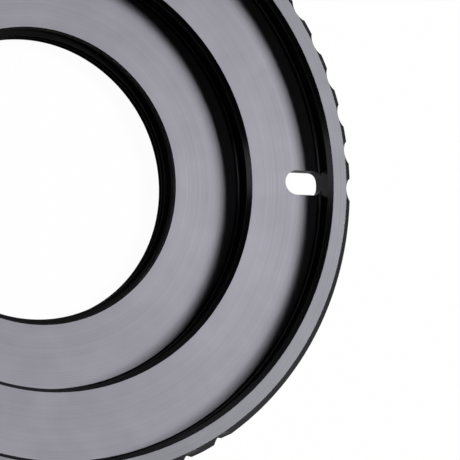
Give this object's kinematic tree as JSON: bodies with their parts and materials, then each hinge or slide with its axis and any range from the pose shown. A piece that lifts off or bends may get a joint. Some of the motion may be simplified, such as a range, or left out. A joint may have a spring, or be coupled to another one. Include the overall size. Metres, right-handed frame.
{
  "type": "lens mount adapter",
  "caption": "One-piece turned ring adapter: threaded lens bore in a stepped dish, scalloped grip rim, lock slot and three-lug bayonet collar behind.",
  "frame": {"origin": "centre of the rear face, on the optical axis, where the adapter rests", "axes": "+Z along the optical axis towards the lens; the lock slot lies along +X"},
  "size_m": [0.0546, 0.0546, 0.0066],
  "materials": {
    "anodised_aluminium": "satin black anodising on fine turned metal"
  },
  "bodies": {
    "root": {"adapter_body": "anodised_aluminium"}
  },
  "joints": []
}
